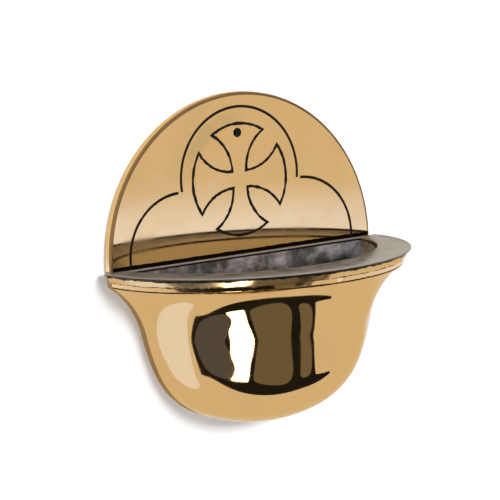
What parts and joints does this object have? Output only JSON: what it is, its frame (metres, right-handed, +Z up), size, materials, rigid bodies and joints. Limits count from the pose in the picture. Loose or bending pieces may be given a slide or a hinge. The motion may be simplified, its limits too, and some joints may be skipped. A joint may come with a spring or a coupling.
{
  "type": "wall-hung holy water font",
  "caption": "Wall-hung holy water font: flat arched backplate with an engraved trefoil and cross, half-round bell-shaped bowl with a stepped rim, and a lift-out metal liner.",
  "frame": {"origin": "centre of the wall face, at the height of the bowl's rim", "axes": "+X right, +Y into the wall, +Z up; the bowl is on the -Y side"},
  "size_m": [0.1612, 0.0882, 0.1624],
  "materials": {
    "backplate": "mirror polished, with light tarnish",
    "bowl": "mirror polished, with light tarnish",
    "liner": "satin, water-stained inside",
    "screws": "plain turned",
    "enamel": "black enamel fill"
  },
  "bodies": {
    "font": {"backplate": "backplate", "bowl": "bowl", "bowl_screws": "screws", "arch_line": "enamel", "left_lobe_line": "enamel", "right_lobe_line": "enamel", "cross_line": "enamel"},
    "liner": {"liner": "liner"}
  },
  "joints": [
    {"name": "liner_lift", "type": "slide", "parent": "font", "child": "liner", "axis": [0, 0, 1], "range_m": [0, 0.09]}
  ]
}
